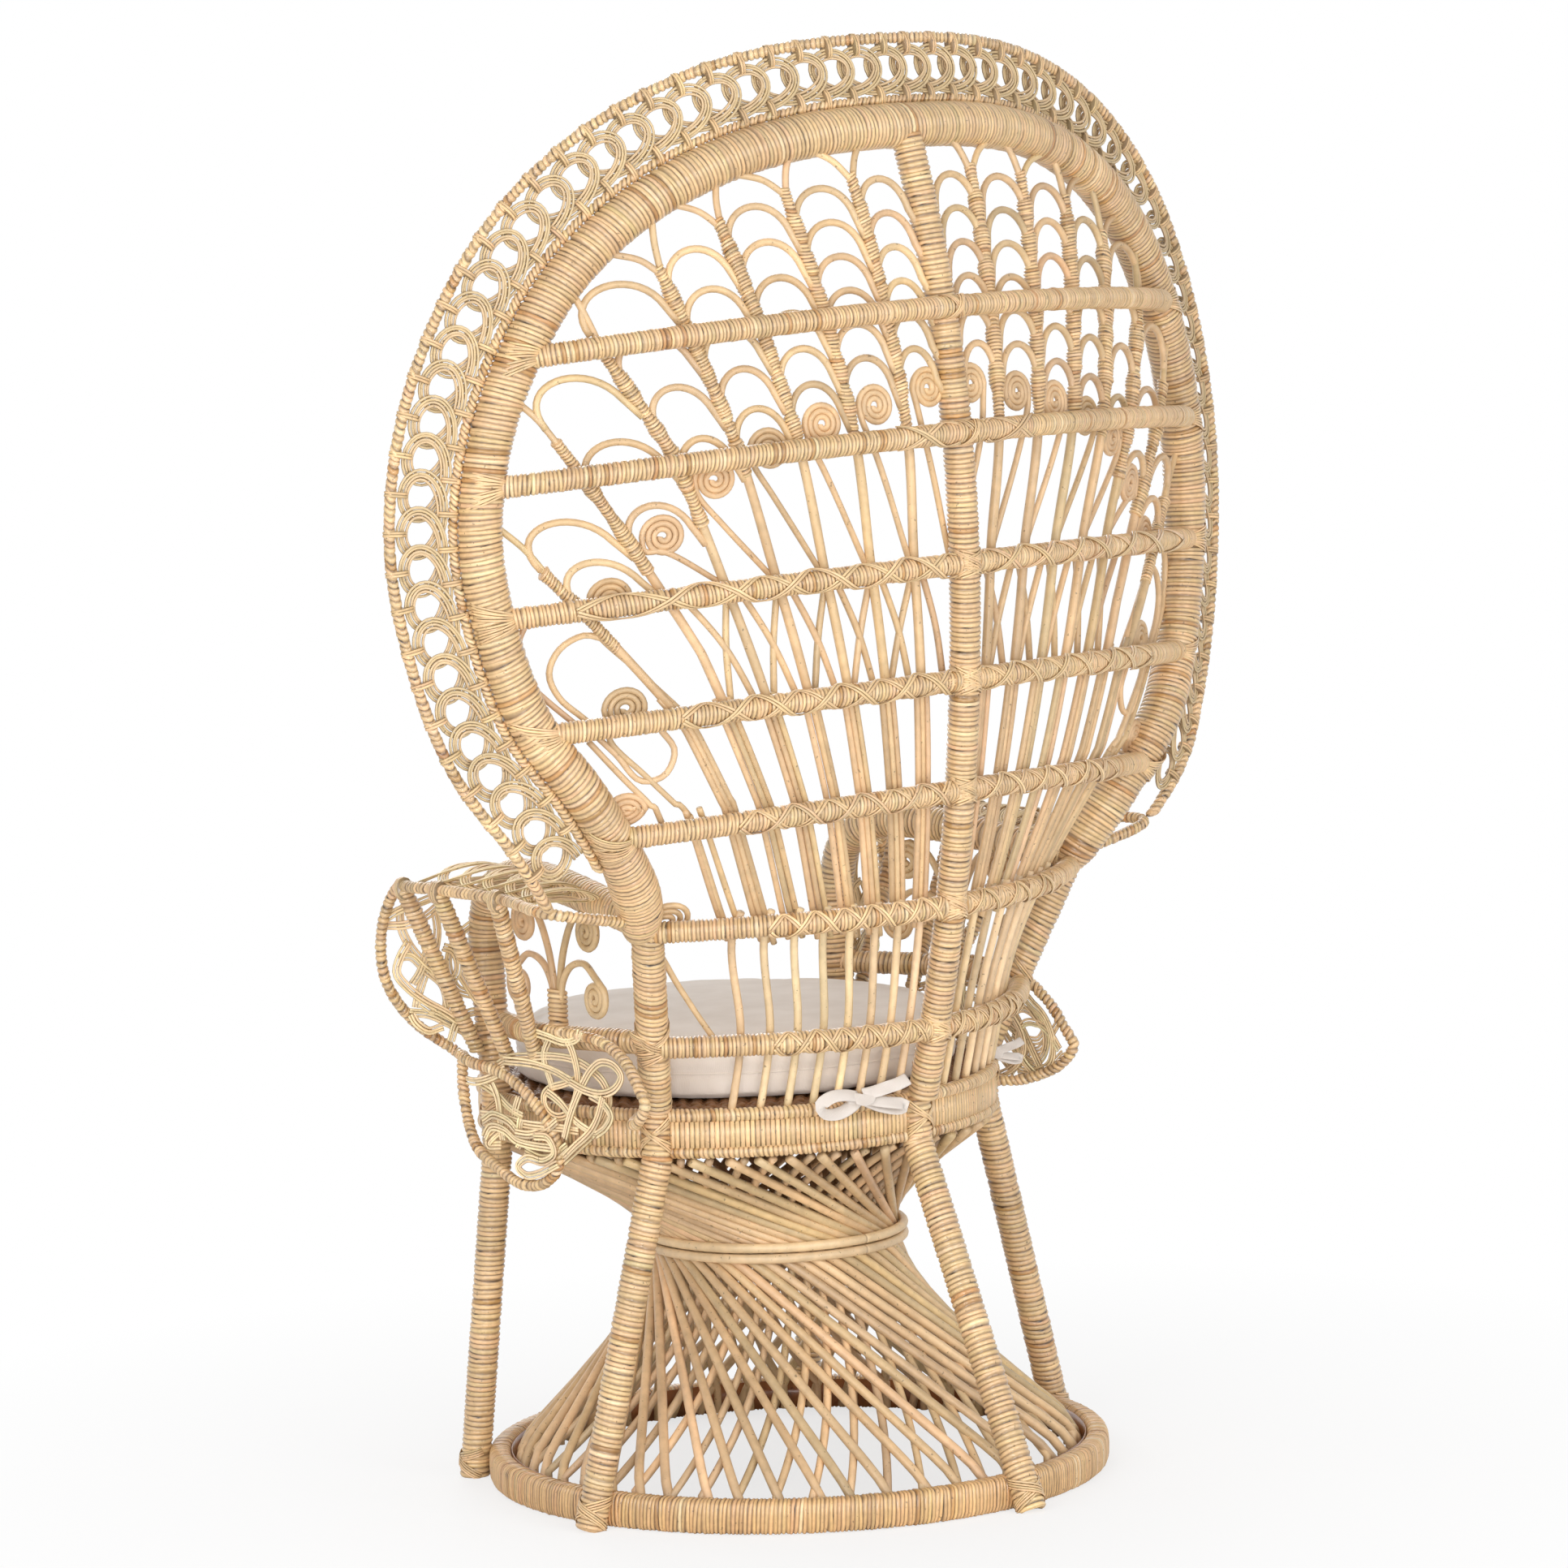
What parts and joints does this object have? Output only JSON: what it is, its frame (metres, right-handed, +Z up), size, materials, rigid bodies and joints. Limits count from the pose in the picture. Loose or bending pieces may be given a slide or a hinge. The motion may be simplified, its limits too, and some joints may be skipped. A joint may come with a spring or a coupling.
{
  "type": "peacock chair",
  "caption": "Rattan armchair with a tall fan-shaped woven back, lace border, scrolled arms, round tied seat pad and hourglass base.",
  "frame": {"origin": "on the floor, under the middle of the chair's box", "axes": "+Z up, the sitter faces -Y, +X to the sitter's left"},
  "size_m": [1.1784, 0.7094, 1.5006],
  "materials": {
    "rattan": "satin",
    "cane": "satin",
    "straw": "satin",
    "cotton": "matte"
  },
  "bodies": {
    "root": {"base_hoop": "rattan", "leg_rear": "rattan", "leg_left": "rattan", "leg_right": "rattan", "leg_front_left": "rattan", "leg_front_right": "rattan", "apron_top_rim": "rattan", "apron_bottom_rim": "rattan", "main_hoop": "rattan", "inner_rim": "rattan", "outer_rim": "rattan", "spine": "rattan", "left_post": "rattan", "right_post": "rattan", "crossbar_1": "rattan", "crossbar_2": "rattan", "crossbar_3": "rattan", "crossbar_4": "rattan", "crossbar_5": "rattan", "crossbar_6": "rattan", "crossbar_7": "rattan", "left_arm_hoop": "rattan", "left_arm_rail": "rattan", "left_arm_rim": "rattan", "left_rear_lobe_rim": "rattan", "left_arm_strut_1": "rattan", "left_arm_strut_2": "rattan", "left_arm_strut_3": "rattan", "right_arm_hoop": "rattan", "right_arm_rail": "rattan", "right_arm_rim": "rattan", "right_rear_lobe_rim": "rattan", "right_arm_strut_1": "rattan", "right_arm_strut_2": "rattan", "right_arm_strut_3": "rattan", "hourglass_weave": "cane", "apron_band": "cane", "seat_deck": "cane", "left_arm_scrolls": "cane", "right_arm_scrolls": "cane", "rib_left_1": "cane", "rib_left_2": "cane", "rib_left_3": "cane", "rib_left_4": "cane", "rib_left_5": "cane", "rib_left_6": "cane", "rib_left_7": "cane", "rib_right_1": "cane", "rib_right_2": "cane", "rib_right_3": "cane", "rib_right_4": "cane", "rib_right_5": "cane", "rib_right_6": "cane", "rib_right_7": "cane", "lace_border": "straw", "left_arm_lace": "straw", "right_arm_lace": "straw", "seat_cushion": "cotton", "tie_bow_rear": "cotton", "tie_bow_right": "cotton"}
  },
  "joints": []
}
